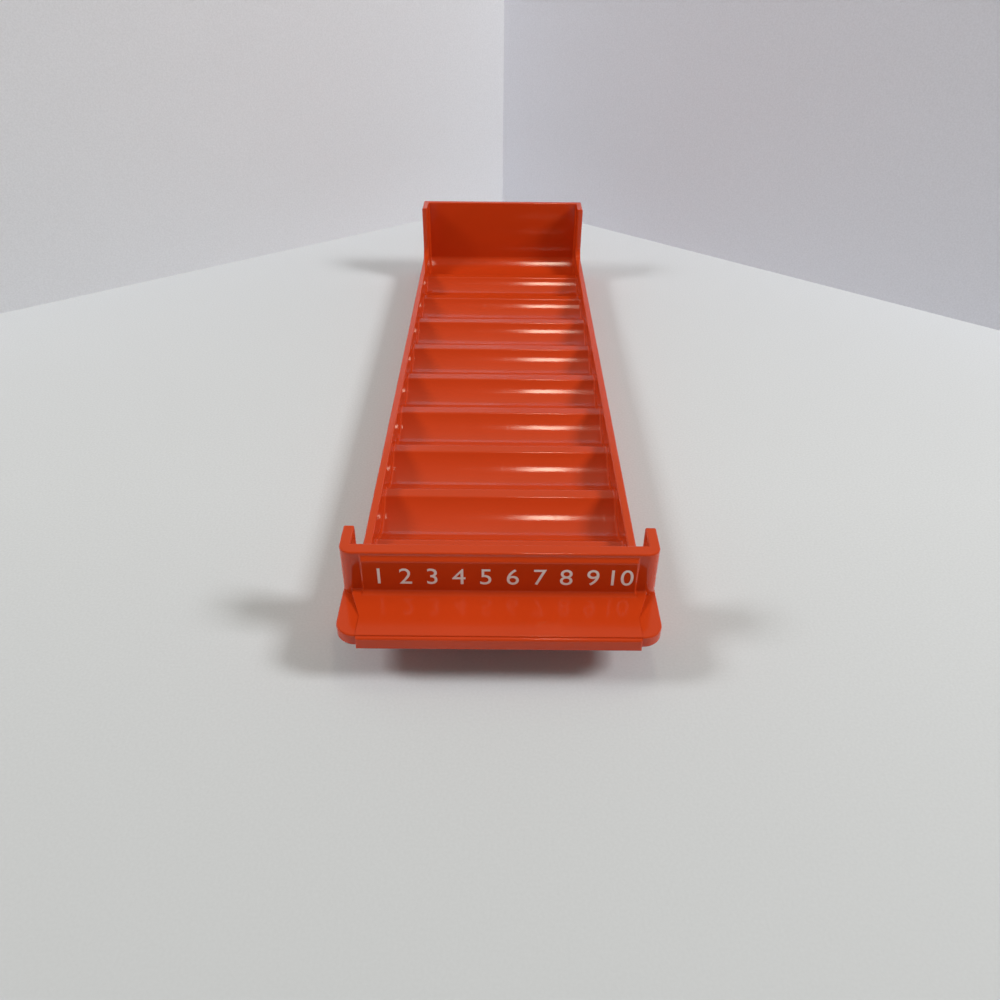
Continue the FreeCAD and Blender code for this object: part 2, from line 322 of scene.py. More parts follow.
# %% [markdown]
# ## Label pad, ramp and pull shelf
#
# The pad is a thin plate with a sloping top edge, the ramp a low wedge that is
# narrower at its front, and the shelf a thin plate between two deeper wings that
# sit a hair lower. The lip hangs in front of the shelf, where fingers pull. The
# shelf, its wings and the lip get their round edges here, block by block.

# %% Label pad, ramp and pull shelf
WING_RADIUS = 5.5 * MM
WING_EDGE = 0.5 * MM
SHELF_EDGE = 0.25 * MM
LIP_EDGE = 0.5 * MM
LIP_DRAFT = 0.6 * MM
LIP_RISE = 0.3 * MM
NEAR_EDGE = MM / 10
CUT_REACH = 1e-7
plate_front = plate[LOW].y
pad_slope = pad[HIGH].y - pad[LOW].y

pad_outline = [
    (wall_front + OVERRUN, plate[HIGH].z), (wall_front + OVERRUN, pad[HIGH].z),
    (wall_front, pad[HIGH].z), (pad[LOW].y, pad[HIGH].z - pad_slope),
    (pad[LOW].y, plate[HIGH].z),
]
blocks.append(prism("pad_block", "x", pad_outline, pad[LOW].x, pad[HIGH].x))

narrow = wing[LOW].x
ramp_plan = [
    (-narrow, ramp[LOW].y), (narrow, ramp[LOW].y), (ramp[HIGH].x, wall_front),
    (ramp[HIGH].x, wall_front + OVERRUN), (-ramp[HIGH].x, wall_front + OVERRUN),
    (-ramp[HIGH].x, wall_front),
]


def build_ramp():
    """A flat plate whose top is then cut to the slope."""
    block = prism("ramp_block", "z", ramp_plan, plate[HIGH].z - OVERRUN, ramp[HIGH].z + OVERRUN)
    bm = bmesh.new()
    bm.from_mesh(block.data)
    fall = Vector((0, -(ramp[HIGH].z - plate[HIGH].z), wall_front - ramp[LOW].y))
    edge = bmesh.ops.bisect_plane(bm, geom=bm.verts[:] + bm.edges[:] + bm.faces[:],
                                  dist=CUT_REACH, plane_co=(0, ramp[LOW].y, plate[HIGH].z),
                                  plane_no=fall, clear_outer=True)["geom_cut"]
    bmesh.ops.contextual_create(bm, geom=[e for e in edge if isinstance(e, bmesh.types.BMEdge)])
    bmesh.ops.recalc_face_normals(bm, faces=bm.faces)
    bm.to_mesh(block.data)
    bm.free()
    return block


blocks.append(build_ramp())
shelf = cuboid("shelf_block", (-wing[LOW].x, plate_front, plate[LOW].z),
               (wing[LOW].x, wall_front + OVERRUN, plate[HIGH].z))
blocks.append(round_block(shelf, SHELF_EDGE, lambda at: abs(at.y - plate_front) < NEAR_EDGE
                          and at.z > plate[HIGH].z - NEAR_EDGE))
for side in (-1, 1):
    corners = [(side * wing[LOW].x, plate_front), (side * wing[HIGH].x, plate_front),
               (side * wing[HIGH].x, ear[HIGH].y), (side * ear_inner, ear[HIGH].y),
               (side * ear_inner, wall_back - OVERRUN), (side * wing[LOW].x, wall_back - OVERRUN)]
    level = prism("wing_block", "z", corners, wing[LOW].z, wing_top,
                  round_at=(1,), radius=WING_RADIUS)
    blocks.append(round_block(
        level, WING_EDGE, lambda at: at.z > wing_top - NEAR_EDGE
        and (at.y < plate_front + WING_RADIUS or abs(at.x) > wing[HIGH].x - NEAR_EDGE)
        and abs(at.x) > wing[LOW].x + NEAR_EDGE))
lip_top = lip[HIGH].z + LIP_RISE
lip_outline = [
    (lip[LOW].y, lip[LOW].z), (lip[HIGH].y, lip[LOW].z), (lip[HIGH].y, plate[LOW].z + OVERRUN),
    (plate_front + OVERRUN, plate[LOW].z + OVERRUN), (plate_front + OVERRUN, lip_top),
    (lip[LOW].y + LIP_DRAFT, lip_top),
]
blocks.append(round_block(prism("lip_block", "x", lip_outline, lip[LOW].x, lip[HIGH].x),
                          LIP_EDGE, lambda at: at.y < plate_front - NEAR_EDGE))
print("blocks to fuse:", len(blocks) + 1)

# %% [markdown]
# ## Fuse the blocks
#
# The exact Boolean solver copes with faces that lie in one plane, which plates
# cut to one height always have. It works once on the whole collection, and the
# leftover lines across flat faces are dissolved so that the radii that follow
# meet clean edges.

# %% Fuse
WELD = 0.002 * MM
LEFTOVER_BEND = math.radians(0.4)


def apply_modifiers(thing):
    """Keep what an object's modifiers make, and drop the modifiers."""
    graph = bpy.context.evaluated_depsgraph_get()
    made = bpy.data.meshes.new_from_object(thing.evaluated_get(graph), depsgraph=graph,
                                           preserve_all_data_layers=True)
    thing.modifiers.clear()
    thing.data = made


def fuse(base, others):
    group = bpy.data.collections.new("blocks")
    for other in others:
        group.objects.link(other)
    union = base.modifiers.new("fuse", "BOOLEAN")
    union.operation = "UNION"
    union.operand_type = "COLLECTION"
    union.collection = group
    union.solver = "EXACT"
    apply_modifiers(base)
    for other in others:
        bpy.data.objects.remove(other)
    bpy.data.collections.remove(group)


fuse(bed, blocks)
bed.name = "moulding"

bm = bmesh.new()
bm.from_mesh(bed.data)
bmesh.ops.remove_doubles(bm, verts=bm.verts, dist=WELD)
bmesh.ops.dissolve_degenerate(bm, edges=bm.edges, dist=WELD)
bmesh.ops.dissolve_limit(bm, angle_limit=LEFTOVER_BEND, verts=bm.verts, edges=bm.edges,
                         use_dissolve_boundaries=False, delimit=set())
open_edges = [e for e in bm.edges if not e.is_manifold]
print("fused:", len(bm.verts), "points,", len(bm.faces), "faces, open edges:", len(open_edges))

# %% [markdown]
# ## Small radii
#
# No edge of a moulding is truly sharp. Each edge of the shell is given a weight
# in proportion to its radius, and one Bevel modifier rounds them all at once, so
# that edges of different sizes still meet cleanly at a corner. The hollows and
# ridges are already round, so only edges that bend by more than twenty degrees
# take part, and the shelf's edges, rounded as blocks, get no weight. A Weighted
# Normal modifier then keeps the large faces looking flat next to their radii.

# %% Radii
OUTER_EDGE = 0.5 * MM
PAD_EDGE = 0.35 * MM
INNER_EDGE = 0.5 * MM
BED_FILLET = 0.8 * MM
PAD_COVE = 1.3 * MM
TOP_CORNER = 0.9 * MM
SHARP = 0.0
HAIR = 0.02 * MM
ABOVE_RIDGE = 0.3 * MM
WIDEST = max(TOP_CORNER, PAD_COVE)
BEND = math.radians(20)
LENGTHWISE = 0.9
UPRIGHT = 0.95
FACES_UP = 0.3
RADIUS_STEPS = 5
ROUNDED = 1


def near(value, target):
    return abs(value - target) < HAIR


def between(value, low, high):
    return low - HAIR < value < high + HAIR


def radius_of(edge):
    """The radius that the real edge has, from where it lies and which way it runs."""
    a, b = (vert.co for vert in edge.verts)
    middle = (a + b) / 2
    way = (b - a).normalized()
    if middle.y < plate_front - HAIR:
        return SHARP
    shelf_level = between(middle.z, lip[LOW].z + MM, plate[HIGH].z + MM)
    if middle.y < wall_front + CORNER_RADIUS and shelf_level and not near(middle.y, wall_back):
        return SHARP
    if edge.is_convex:
        on_top = near(abs(middle.x), rail[HIGH].x) and near(middle.z, back[HIGH].z)
        if on_top and abs(way.y) > LENGTHWISE:
            return TOP_CORNER
        if middle.y < wall_front - HAIR and abs(middle.x) < wing[LOW].x + HAIR:
            return PAD_EDGE
        return OUTER_EDGE
    faces_up = max(face.normal.z for face in edge.link_faces) > FACES_UP
    if middle.z < ridge_top + ABOVE_RIDGE and faces_up and abs(way.z) < UPRIGHT:
        return BED_FILLET
    if abs(way.z) > UPRIGHT and middle.y > rise[LOW].y:
        return BED_FILLET
    if near(middle.y, pad[LOW].y):
        return PAD_COVE
    return INNER_EDGE


weight_layer = bm.edges.layers.float.new("bevel_weight_edge")
rounded = 0
for edge in bm.edges:
    if edge.is_manifold and edge.calc_face_angle() > BEND:
        edge[weight_layer] = radius_of(edge) / WIDEST
        edge.smooth = edge[weight_layer] > 0
        rounded += 1
bm.to_mesh(bed.data)
bm.free()

radii = bed.modifiers.new("radii", "BEVEL")
radii.width = WIDEST
radii.limit_method = "WEIGHT"
radii.segments = RADIUS_STEPS
radii.use_clamp_overlap = False
radii.loop_slide = False
radii.material = ROUNDED
flats = bed.modifiers.new("flats", "WEIGHTED_NORMAL")
flats.mode = "FACE_AREA"
flats.keep_sharp = True
for polygon in bed.data.polygons:
    polygon.use_smooth = True
apply_modifiers(bed)
print("edges rounded:", rounded, "faces now:", len(bed.data.polygons))

# %% [markdown]
# ## Part the shell into its named pieces
#
# The tray leaves its mould in one shot, so the radii above had to run over the
# whole shell at once. Its hollows, ridges, walls and ledges still have names of
# their own, and each one is the shell clipped to its own space. A cut that would
# lie in a face of the shell is moved a hundredth of a millimetre away from it,
# and each cut is closed with triangles inside its own rim. The shell's corner
# normals are stored before the first cut and given back to every piece's outer
# faces, so the shine runs on across the joints, while the joints themselves
# stay flat. A second stored value marks the rounded edges, which wear first and
# which the finish paints paler, partly as wear and partly as a painted highlight
# along the edges.

# %% Mark the edges and store the normals
shell = bed.data
# The rounded edges are marked for a paler colour: wear, and partly a painted highlight along the
# edges.
wear_and_sheen = shell.attributes.new("edge_wear_and_sheen", "FLOAT", "POINT")
for polygon in shell.polygons:
    if polygon.material_index == ROUNDED:
        for index in polygon.vertices:
            wear_and_sheen.data[index].value = 1.0
    polygon.material_index = 0
shell.materials.clear()
normals = [0.0] * (3 * len(shell.loops))
shell.corner_normals.foreach_get("vector", normals)
kept = shell.attributes.new("shell_normal", "FLOAT_VECTOR", "CORNER")
kept.data.foreach_set("vector", normals)

whole = bmesh.new()
whole.from_mesh(shell)
bmesh.ops.triangulate(whole, faces=whole.faces)
whole.to_mesh(shell)
print("shell volume:", round(whole.calc_volume() / MM ** 3), "cubic mm")


# %% Spaces
def space(x=(None, None), y=(None, None), z=(None, None)):
    """Bounds along each axis; None leaves that side open."""
    return x, y, z


def beyond(side, inner, outer=None):
    """From a distance outward on one side of the tray, left or right."""
    return (inner, outer) if side > 0 else (None if outer is None else -outer, -inner)


SEAM = 0.01 * MM
ROUNDING = INNER_EDGE + SEAM
before_wall = wall_front - SEAM
after_wall = wall_back + SEAM
before_back = back[LOW].y - SEAM
in_rail, out_rail = rail[LOW].x - SEAM, rail[HIGH].x + SEAM
rail_top = rail[HIGH].z + SEAM
past_ear = ear[HIGH].y + ROUNDING * 2
before_shelf = plate_front - SEAM
behind_lip = lip[HIGH].y + ROUNDING
under_plate = plate[LOW].z - SEAM
over_plate = plate[HIGH].z + SEAM
in_wing = wing[LOW].x - SEAM
between_wings = (-in_wing, in_wing)
between_rails = (-in_rail, in_rail)
over_ramp = ramp[HIGH].z + SEAM

spaces = {
    "finger_lip": [space(y=(None, before_shelf)),
                   space(between_wings, (before_shelf, behind_lip), (None, under_plate))],
    "pull_shelf": [space(between_wings, (before_shelf, behind_lip), (under_plate, over_plate)),
                   space(between_wings, (behind_lip, before_wall), (None, over_plate))],
    "shelf_ramp": [space(y=(before_shelf, before_wall), z=(over_plate, over_ramp))],
    "label_pad": [space(y=(None, before_wall), z=(over_ramp, None))],
    "front_wall": [space(y=(before_wall, after_wall), z=(wing_top + SEAM, None))],
    "front_apron": [space(y=(before_wall, after_wall), z=(None, wing_top + SEAM))],
    "back_wall": [space(y=(before_back, None))],
}
for side, suffix in ((-1, "left"), (1, "right")):
    spaces["shelf_wing_" + suffix] = [
        space(beyond(side, in_wing), (before_shelf, before_wall), (None, over_plate))]
    spaces["front_ear_" + suffix] = [
        space(beyond(side, 0.0), (after_wall, past_ear), (rail_top, None)),
        space(beyond(side, out_rail), (after_wall, past_ear), (None, rail_top))]
    spaces["side_wall_" + suffix] = [
        space(beyond(side, in_rail, out_rail), (after_wall, before_back), (None, rail_top))]
    spaces["rear_return_" + suffix] = [
        space(beyond(side, 0.0), (past_ear, before_back), (rail_top, None))]
row = [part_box(f"roll_cradle_{number:02d}") for number in range(1, ROLLS + 1)]
for number in range(1, ROLLS + 1):
    start = after_wall if number == 1 else row[number - 1][LOW].y - SEAM
    end = before_back if number == ROLLS else row[number - 1][HIGH].y + SEAM
    spaces[f"roll_cradle_{number:02d}"] = [
        space(between_rails, (start, end), (None, rail_top))]
    if number < ROLLS:
        spaces[f"divider_ridge_{number}"] = [
            space(between_rails, (end, row[number][LOW].y - SEAM), (None, rail_top))]
missed = sorted(set(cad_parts) - set(spaces))
print("named pieces:", len(spaces), "nodes without one:", missed)


# %% Clip
ON_PLANE = 1e-8
JOINT = 1


def clip(bm, axis, at, outward):
    """Cut away what lies beyond a plane, and close the cut."""
    place = AXES[axis] * at
    cut = bmesh.ops.bisect_plane(bm, geom=bm.verts[:] + bm.edges[:] + bm.faces[:],
                                 dist=ON_PLANE, plane_co=place,
                                 plane_no=AXES[axis] * outward, clear_outer=True)["geom_cut"]
    rim = [item for item in cut if isinstance(item, bmesh.types.BMEdge) and item.is_boundary]
    if rim:
        joint = bmesh.ops.triangle_fill(bm, edges=rim, use_beauty=True, use_dissolve=False,
                                        normal=AXES[axis] * outward)["geom"]
        for face in (item for item in joint if isinstance(item, bmesh.types.BMFace)):
            face.normal_update()
            if face.normal.dot(AXES[axis]) * outward < 0:
                face.normal_flip()
            face.material_index = JOINT


def part_of_shell(bounds):
    bm = whole.copy()
    for axis in "yxz":
        low, high = bounds["xyz".index(axis)]
        if low is not None:
            clip(bm, axis, low, -1)
        if high is not None:
            clip(bm, axis, high, 1)
    part = bpy.data.meshes.new("part")
    bm.to_mesh(part)
    volume = bm.calc_volume()
    open_edges = sum(not edge.is_manifold for edge in bm.edges)
    bm.free()
    return part, volume, open_edges


def build_piece(node):
    """One named piece, with the whole shell's normals on its outer faces."""
    bm = bmesh.new()
    volume, open_edges = 0.0, 0
    for bounds in spaces[node]:
        part, part_volume, part_open = part_of_shell(bounds)
        bm.from_mesh(part)
        bpy.data.meshes.remove(part)
        volume += part_volume
        open_edges += part_open
    piece = block_from(bm, node + "_piece")
    mesh = piece.data
    for polygon in mesh.polygons:
        polygon.use_smooth = True
    stored = mesh.attributes["shell_normal"].data
    mesh.normals_split_custom_set([
        polygon.normal if polygon.material_index == JOINT else stored[index].vector.normalized()
        for polygon in mesh.polygons for index in polygon.loop_indices])
    for polygon in mesh.polygons:
        polygon.material_index = 0
    mesh.attributes.remove(mesh.attributes["shell_normal"])
    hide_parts(node)
    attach(piece, "root")
    return piece, volume, open_edges


shell_pieces, total_volume, total_open = [], 0.0, 0
for node in sorted(spaces):
    piece, volume, open_edges = build_piece(node)
    shell_pieces.append(piece)
    total_volume += volume
    total_open += open_edges
whole.free()
bpy.data.objects.remove(bed)
print("pieces:", len(shell_pieces), "open edges:", total_open,
      "volume together:", round(total_volume / MM ** 3), "cubic mm")

# %% [markdown]
# ## Gloss plastic
#
# The plastic is a saturated orange red with a smooth polish from the mould. A
# plain colour would look like paint on glass, so two shared groups put life in
# it. The first follows how the melt flowed and cooled: broad, faint changes of
# shade, and the very fine unevenness that softens a reflection. The second adds
# what handling does: hair-thin scratches and slightly duller, paler edges. The
# paler edges are partly wear and partly a painted highlight along the edges.
# Both read Object coordinates, so they sit still on the tray and stay the same
# size.

# %% Shared surface effects
FLOW_SIZE = 22.0
GRAIN_SIZE = 900.0
SCRATCH_SIZE = 70.0
FLOW_STRETCH = (1.0, 0.35, 1.0)
SCRATCH_WAYS = ((0.35, (1.0, 18.0, 1.0)), (-0.9, (14.0, 1.0, 1.0)))


def new_group(name, inputs, outputs):
    group = bpy.data.node_groups.new(name, "ShaderNodeTree")
    for label, kind, value in inputs:
        socket = group.interface.new_socket(name=label, in_out="INPUT", socket_type=kind)
        if value is not None:
            socket.default_value = value
    for label, kind in outputs:
        group.interface.new_socket(name=label, in_out="OUTPUT", socket_type=kind)
    source = group.nodes.new("NodeGroupInput")
    sink = group.nodes.new("NodeGroupOutput")
    return group, source, sink


def add_node(tree, kind, **settings):
    node = tree.nodes.new(kind)
    for name, value in settings.items():
        setattr(node, name, value)
    return node


def noise(tree, place, scale, detail, rough=0.5):
    node = add_node(tree, "ShaderNodeTexNoise")
    node.inputs["Scale"].default_value = scale
    node.inputs["Detail"].default_value = detail
    node.inputs["Roughness"].default_value = rough
    node.inputs["Distortion"].default_value = 0.0
    tree.links.new(place, node.inputs["Vector"])
    return node.outputs["Fac"]


def spread(tree, value, low, high, to_low, to_high):
    """Map a range of a value on to another."""
    node = add_node(tree, "ShaderNodeMapRange", clamp=True)
    tree.links.new(value, node.inputs["Value"])
    for label, number in (("From Min", low), ("From Max", high),
                          ("To Min", to_low), ("To Max", to_high)):
        if isinstance(number, (int, float)):
            node.inputs[label].default_value = number
        else:
            tree.links.new(number, node.inputs[label])
    return node.outputs["Result"]


def combine(tree, kind, first_value, second_value):
    node = add_node(tree, "ShaderNodeMath", operation=kind)
    for index, value in enumerate((first_value, second_value)):
        if isinstance(value, (int, float)):
            node.inputs[index].default_value = value
        else:
            tree.links.new(value, node.inputs[index])
    return node.outputs[0]


def make_moulded_group():
    """Faint flow marks and the fine unevenness of a polished mould."""
    group, source, sink = new_group(
        "moulded_surface",
        [("Place", "NodeSocketVector", None), ("Flow Size", "NodeSocketFloat", FLOW_SIZE),
         ("Grain Size", "NodeSocketFloat", GRAIN_SIZE)],
        [("Flow", "NodeSocketFloat"), ("Grain", "NodeSocketFloat")])
    links = group.links
    stretch = add_node(group, "ShaderNodeVectorMath", operation="MULTIPLY")
    stretch.inputs[1].default_value = FLOW_STRETCH
    links.new(source.outputs["Place"], stretch.inputs[0])
    flow = add_node(group, "ShaderNodeTexNoise")
    flow.inputs["Detail"].default_value = 3.0
    flow.inputs["Distortion"].default_value = 0.6
    links.new(stretch.outputs[0], flow.inputs["Vector"])
    links.new(source.outputs["Flow Size"], flow.inputs["Scale"])
    grain = add_node(group, "ShaderNodeTexNoise")
    grain.inputs["Detail"].default_value = 2.0
    links.new(source.outputs["Place"], grain.inputs["Vector"])
    links.new(source.outputs["Grain Size"], grain.inputs["Scale"])
    links.new(flow.outputs["Fac"], sink.inputs["Flow"])
    links.new(grain.outputs["Fac"], sink.inputs["Grain"])
    return group


def make_handled_group():
    """Hair-thin scratches in two directions, and smudges between them."""
    group, source, sink = new_group(
        "handled_surface",
        [("Place", "NodeSocketVector", None), ("Scratch Size", "NodeSocketFloat", SCRATCH_SIZE)],
        [("Scratches", "NodeSocketFloat"), ("Smudges", "NodeSocketFloat")])
    links = group.links
    lines = []
    for turn, drawn_out in SCRATCH_WAYS:
        turned = add_node(group, "ShaderNodeMapping")
        turned.inputs["Rotation"].default_value = (0.0, 0.0, turn)
        turned.inputs["Scale"].default_value = drawn_out
        links.new(source.outputs["Place"], turned.inputs["Vector"])
        cells = add_node(group, "ShaderNodeTexNoise")
        cells.inputs["Detail"].default_value = 1.0
        links.new(turned.outputs["Vector"], cells.inputs["Vector"])
        links.new(source.outputs["Scratch Size"], cells.inputs["Scale"])
        lines.append(spread(group, cells.outputs["Fac"], 0.66, 0.72, 0.0, 1.0))
    links.new(combine(group, "MAXIMUM", *lines), sink.inputs["Scratches"])
    links.new(noise(group, source.outputs["Place"], 38.0, 4.0, 0.6), sink.inputs["Smudges"])
    return group


moulded_group = make_moulded_group()
handled_group = make_handled_group()
print("shared effects:", moulded_group.name, "and", handled_group.name)

# %% [markdown]
# ## The tray's own finish
#
# Flow marks shift the colour between two close shades, the worn edges pick up a
# paler third that is partly wear and partly a painted highlight along the edges,
# and the roughness moves a little with smudges and scratches. The grain feeds a
# Bump node at a hundredth of a millimetre, which is enough to break the hard
# outline of a lamp's reflection.

# %% Orange plastic
ORANGE = (0.56, 0.047, 0.007, 1.0)
ORANGE_DEEP = (0.53, 0.044, 0.006, 1.0)
# The paler edge orange is partly wear and partly a painted highlight along the rounded edges.
ORANGE_WORN_AND_SHEEN = (0.74, 0.115, 0.028, 1.0)
LEAST_WEAR_AND_SHEEN, MOST_WEAR_AND_SHEEN = 0.15, 0.6
SMOOTHEST, ROUGHEST = 0.09, 0.13
SCRATCH_ROUGH = 0.06
WORN_ROUGH = 0.10
SCRATCH_DEPTH = 0.5
BUMP_HEIGHT = 0.01 * MM
GRAIN_STRENGTH = 0.15
PLASTIC_IOR = 1.48


def blend_colours(tree, factor, first_colour, second_colour):
    node = add_node(tree, "ShaderNodeMix", data_type="RGBA")
    tree.links.new(factor, node.inputs["Factor"])
    for label, colour in (("A", first_colour), ("B", second_colour)):
        socket = next(s for s in node.inputs if s.name == label and s.type == "RGBA")
        if isinstance(colour, tuple):
            socket.default_value = colour
        else:
            tree.links.new(colour, socket)
    return next(s for s in node.outputs if s.type == "RGBA")


def place_group(tree, group, place, **sizes):
    node = add_node(tree, "ShaderNodeGroup", node_tree=group)
    tree.links.new(place, node.inputs["Place"])
    for label, value in sizes.items():
        node.inputs[label.replace("_", " ")].default_value = value
    return node


def new_finish(name):
    finish = bpy.data.materials.new(name)
    finish.use_nodes = True
    tree = finish.node_tree
    shader = tree.nodes["Principled BSDF"]
    place = add_node(tree, "ShaderNodeTexCoord").outputs["Object"]
    return finish, tree, shader, place


def make_orange_plastic():
    finish, tree, shader, place = new_finish("orange_gloss_plastic")
    moulded = place_group(tree, moulded_group, place, Flow_Size=FLOW_SIZE,
                          Grain_Size=GRAIN_SIZE)
    handled = place_group(tree, handled_group, place, Scratch_Size=SCRATCH_SIZE)
    # Rounded edges turn paler here: wear, and partly a painted highlight along the edges.
    sheen_and_wear_edges = add_node(tree, "ShaderNodeAttribute", attribute_name="edge_wear_and_sheen")
    flow = spread(tree, moulded.outputs["Flow"], 0.35, 0.65, 0.0, 1.0)
    wear_and_sheen = combine(tree, "MULTIPLY", sheen_and_wear_edges.outputs["Fac"],
                   spread(tree, handled.outputs["Smudges"], 0.4, 0.7, LEAST_WEAR_AND_SHEEN, MOST_WEAR_AND_SHEEN))
    colour = blend_colours(tree, flow, ORANGE, ORANGE_DEEP)
    colour = blend_colours(tree, wear_and_sheen, colour, ORANGE_WORN_AND_SHEEN)
    tree.links.new(colour, shader.inputs["Base Color"])
    rough = spread(tree, handled.outputs["Smudges"], 0.3, 0.7, SMOOTHEST, ROUGHEST)
    scratched = combine(tree, "MULTIPLY", handled.outputs["Scratches"], SCRATCH_ROUGH)
    rough = combine(tree, "ADD", rough, scratched)
    rough = combine(tree, "ADD", rough, combine(tree, "MULTIPLY", wear_and_sheen, WORN_ROUGH))
    tree.links.new(rough, shader.inputs["Roughness"])
    height = combine(tree, "SUBTRACT", moulded.outputs["Grain"],
                     combine(tree, "MULTIPLY", handled.outputs["Scratches"], SCRATCH_DEPTH))
    bump = add_node(tree, "ShaderNodeBump")
    bump.inputs["Strength"].default_value = GRAIN_STRENGTH
    bump.inputs["Distance"].default_value = BUMP_HEIGHT
    tree.links.new(height, bump.inputs["Height"])
    tree.links.new(bump.outputs["Normal"], shader.inputs["Normal"])
    shader.inputs["IOR"].default_value = PLASTIC_IOR
    return finish


orange_plastic = make_orange_plastic()
for piece in shell_pieces:
    piece.data.materials.append(orange_plastic)
print("finish:", orange_plastic.name)

# %% [markdown]
# ## Figures on the pad
#
# The white legend is hot stamped, so it is a film on the surface with crisp
# outlines. Plain figures for the ten rolls stand in its place. A text curve
# gives their outlines, is turned into a mesh, and only then moved on to the pad.

# %% Stamped figures
FIGURE_HEIGHT = 5.4 * MM
FILM = 0.06 * MM
CAP_PER_SIZE = 0.70
CURVE_STEPS = 6
FIGURE_STEP = 7.2
FIGURE_RAISE = 0.5 * MM
FOIL = (0.80, 0.78, 0.74, 1.0)
FOIL_THIN = (0.72, 0.40, 0.34, 1.0)
FOIL_STRENGTH = 0.3


def stamp(text, across):
    curve = bpy.data.curves.new("figure", "FONT")
    curve.body = text
    curve.size = FIGURE_HEIGHT / CAP_PER_SIZE
    curve.align_x = "CENTER"
    curve.extrude = FILM / 2
    curve.resolution_u = CURVE_STEPS
    holder = bpy.data.objects.new("figure", curve)
    bpy.context.scene.collection.objects.link(holder)
    graph = bpy.context.evaluated_depsgraph_get()
    mesh = bpy.data.meshes.new_from_object(holder.evaluated_get(graph))
    bpy.data.objects.remove(holder)
    bm = bmesh.new()
    bm.from_mesh(mesh)
    bmesh.ops.remove_doubles(bm, verts=bm.verts, dist=CUT_REACH)
    bmesh.ops.recalc_face_normals(bm, faces=bm.faces)
    upright = Matrix.Rotation(math.pi / 2, 4, "X")
    middle = (pad[LOW].z + pad[HIGH].z - pad_slope) / 2 + FIGURE_RAISE
    place = Matrix.Translation((across, pad[LOW].y, middle - FIGURE_HEIGHT / 2))
    bmesh.ops.transform(bm, matrix=place @ upright, verts=bm.verts)
    bm.to_mesh(mesh)
    bm.free()
    return mesh


def make_stamping_foil():
    finish, tree, shader, place = new_finish("white_stamping_foil")
    moulded = place_group(tree, moulded_group, place, Flow_Size=60.0, Grain_Size=1400.0)
    handled = place_group(tree, handled_group, place, Scratch_Size=160.0)
    thin = spread(tree, moulded.outputs["Flow"], 0.55, 0.75, 0.0, 0.22)
    colour = blend_colours(tree, thin, FOIL, FOIL_THIN)
    tree.links.new(colour, shader.inputs["Base Color"])
    rough = spread(tree, handled.outputs["Smudges"], 0.3, 0.7, 0.38, 0.50)
    tree.links.new(rough, shader.inputs["Roughness"])
    bump = add_node(tree, "ShaderNodeBump")
    bump.inputs["Strength"].default_value = FOIL_STRENGTH
    bump.inputs["Distance"].default_value = BUMP_HEIGHT
    tree.links.new(moulded.outputs["Grain"], bump.inputs["Height"])
    tree.links.new(bump.outputs["Normal"], shader.inputs["Normal"])
    return finish


foil = make_stamping_foil()
legend_mesh = bpy.data.meshes.new("legend")
bm = bmesh.new()
for number in range(ROLLS):
    across = (number - (ROLLS - 1) / 2) * FIGURE_STEP * MM
    bm.from_mesh(stamp(str(number + 1), across))
bm.to_mesh(legend_mesh)
bm.free()
legend = bpy.data.objects.new("stamped_figures", legend_mesh)
bpy.context.scene.collection.objects.link(legend)
legend.data.materials.append(foil)
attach(legend, "root")
print("figures span", round(legend.dimensions.x / MM, 1), "mm")

# %% [markdown]
# ## Floor, boards and light
#
# A pale table and two pale boards that meet in a corner behind the tray give
# the gloss something plain to mirror. The table's colour is painted a little
# darker towards the camera end, a painted shade, and the right board is a
# slightly darker copy of the left one's colour, also a painted shade. The boards
# show only from their front, so that they never hide the tray from another side,
# and cast no shadow. One long lamp overhead draws the bright lines in the hollows.
# Two small lamps, one at each side, leave the hollows' ends dark, two wide panels
# and a low lamp in front fill in, and none of these five shows in a reflection.
# The air is dim, brighter towards the back, and pale only where the camera sees
# it.

# %% Floor and boards
CLOTH_SIZE = 1400.0
CLOTH_SHADE = 0.92
# How much darker the table's colour is painted near the camera: painted shade.
NEAR_PAINTED_SHADE = 0.84
MATT = 0.9
DULL = 0.2
TABLE = (0.65, 0.67, 0.69, 1.0)
BOARD_LEFT = (0.74, 0.75, 0.78, 1.0)
# The right board is the same pale board as the left, painted slightly darker: painted shade.
BOARD_RIGHT_SHADED = (0.73, 0.74, 0.80, 1.0)


